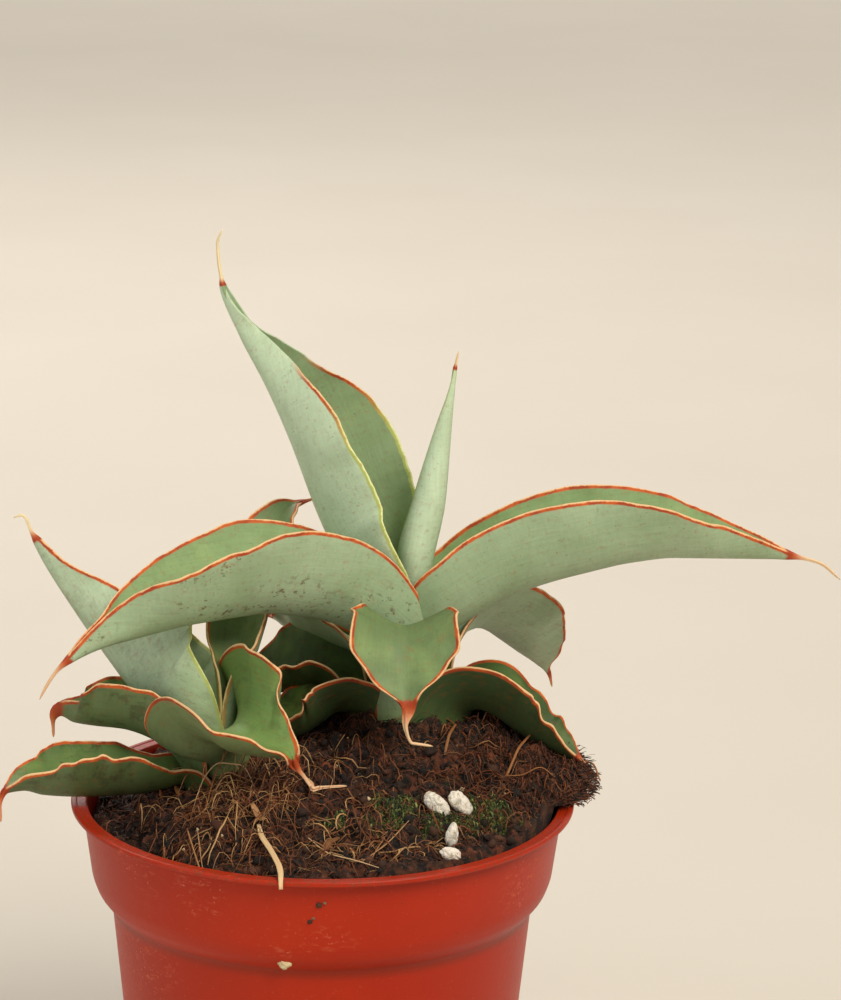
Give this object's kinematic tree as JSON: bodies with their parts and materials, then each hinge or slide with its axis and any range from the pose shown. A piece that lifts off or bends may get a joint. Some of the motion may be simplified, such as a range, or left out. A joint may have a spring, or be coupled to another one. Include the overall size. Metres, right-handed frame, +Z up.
{
  "type": "potted swan dancer snake plant",
  "caption": "Small succulent with folded, arching, wavy-edged leaves in a main rosette and a side pup, growing from a mounded peaty soil in a round tapered plastic nursery pot.",
  "frame": {"origin": "centre of the pot's underside, on the surface it stands on", "axes": "+Z up along the pot's axis, +X to the right and +Y away from whoever faces the pot's front"},
  "size_m": [0.1502, 0.0937, 0.1754],
  "materials": {
    "leaf": "satin",
    "lowLeaf": "satin",
    "pot": "satin",
    "soil": "rough",
    "root": "matt",
    "straw": "matt",
    "perlite": "rough"
  },
  "bodies": {
    "root": {"mainCentre": "leaf", "mainTall": "leaf", "mainRight": "leaf", "mainLeft": "leaf", "mainFront": "leaf", "mainBackLeftHigh": "leaf", "mainBackRight": "leaf", "mainBackLeftLow": "lowLeaf", "mainLowRight": "lowLeaf", "mainLowLeft": "lowLeaf", "pupInner": "leaf", "pupTall": "leaf", "pupFront": "lowLeaf", "pupBackLeft": "lowLeaf", "pupLowLeft": "lowLeaf", "pot": "pot", "rhizome": "root", "soil": "soil", "straw": "straw", "perlite1": "perlite", "perlite2": "perlite", "perlite3": "perlite", "perlite4": "perlite"}
  },
  "joints": []
}
